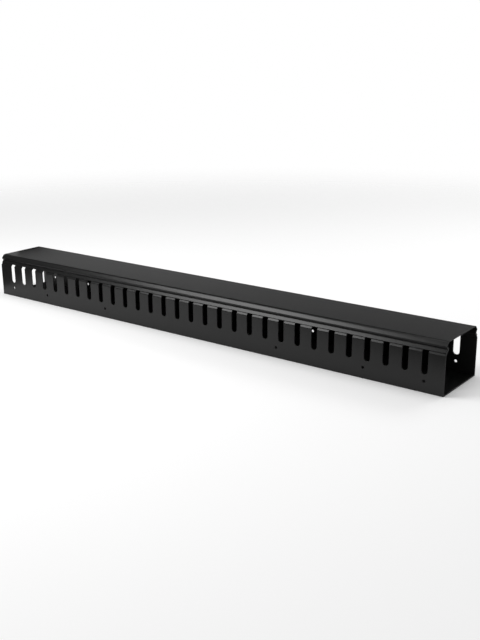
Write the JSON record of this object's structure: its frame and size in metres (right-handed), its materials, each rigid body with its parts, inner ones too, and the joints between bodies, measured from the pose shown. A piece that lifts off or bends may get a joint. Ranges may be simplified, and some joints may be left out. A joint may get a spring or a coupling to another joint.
{
  "type": "vertical cable manager",
  "caption": "Black plastic finger duct, three feet long, with slotted side walls and a press-fit cover, open at both ends, for routing cables beside a rack.",
  "frame": {"origin": "middle of the back face, the flat face that lies against the rack", "axes": "+X along the channel, +Y across it from the near wall to the far wall, +Z out of the back towards the cover. In use +X or -X points up the rack"},
  "size_m": [0.9144, 0.1032, 0.0763],
  "materials": {
    "black_plastic": "rigid extruded plastic, black through and through, satin outside"
  },
  "bodies": {
    "channel": {"base_channel": "black_plastic"},
    "cover": {"cover": "black_plastic"}
  },
  "joints": [
    {"name": "cover_slide", "type": "slide", "parent": "channel", "child": "cover", "axis": [1, 0, 0], "range_m": [-0.92, 0.92]}
  ]
}
